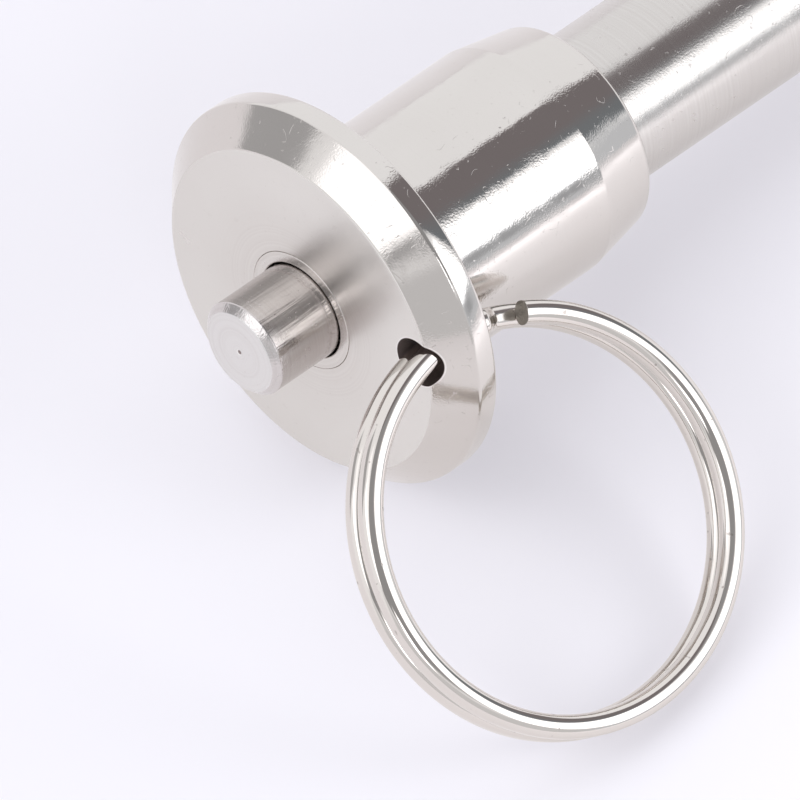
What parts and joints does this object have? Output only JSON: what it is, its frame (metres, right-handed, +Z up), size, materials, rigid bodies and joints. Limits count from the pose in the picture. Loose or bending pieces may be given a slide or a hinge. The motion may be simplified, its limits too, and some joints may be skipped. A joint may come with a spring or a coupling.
{
  "type": "ball lock pin",
  "caption": "Quick-release ball lock pin: a flanged button handle with a key ring, and a round shank with locking balls near the tip that sink in when the button is pressed.",
  "frame": {"origin": "middle of the object's bounding box in plan, at the level of the surface that it lies on", "axes": "+Z up, +X level under the pin from the button towards the tip, +Y level to the pin's left; the pin itself slopes down from the handle's flange to its tip"},
  "size_m": [0.0722, 0.042, 0.0253],
  "materials": {
    "handle_steel": "turned stainless steel, polished",
    "bush_steel": "turned stainless steel",
    "shank_steel": "hardened stainless steel, centreless ground",
    "button_steel": "turned stainless steel",
    "spindle_steel": "ground stainless steel",
    "spring_steel": "drawn stainless spring wire",
    "ball_steel": "polished hardened steel",
    "ring_steel": "bright nickel-plated spring steel"
  },
  "bodies": {
    "pin": {"handle": "handle_steel", "guide_bush": "bush_steel", "shank": "shank_steel", "return_spring": "spring_steel"},
    "button": {"push_button": "button_steel", "spindle": "spindle_steel"},
    "ball_left": {"locking_ball_left": "ball_steel"},
    "ball_right": {"locking_ball_right": "ball_steel"},
    "ring": {"split_ring": "ring_steel"}
  },
  "joints": [
    {"name": "button_press", "type": "slide", "parent": "pin", "child": "button", "axis": [0.9905, 0, -0.1378], "range_m": [0, 0.003], "stiffness_N_per_m": 500, "springref_m": -0.004, "deforming": ["return_spring"]},
    {"name": "ball_left_sink", "type": "slide", "parent": "pin", "child": "ball_left", "axis": [0, -1, 0], "range_m": [0, 0.0011]},
    {"name": "ball_right_sink", "type": "slide", "parent": "pin", "child": "ball_right", "axis": [0, 1, 0], "range_m": [0, 0.0011]},
    {"name": "ring_swing", "type": "hinge", "parent": "pin", "child": "ring", "pos_m": [-0.02214, -0.00073, 0.01624], "axis": [0.9905, 0, -0.1378], "range_deg": [-155, 55]}
  ],
  "couplings": [
    {"joint": "ball_left_sink", "follows": "button_press", "ratio": 0.36667},
    {"joint": "ball_right_sink", "follows": "button_press", "ratio": 0.36667}
  ]
}
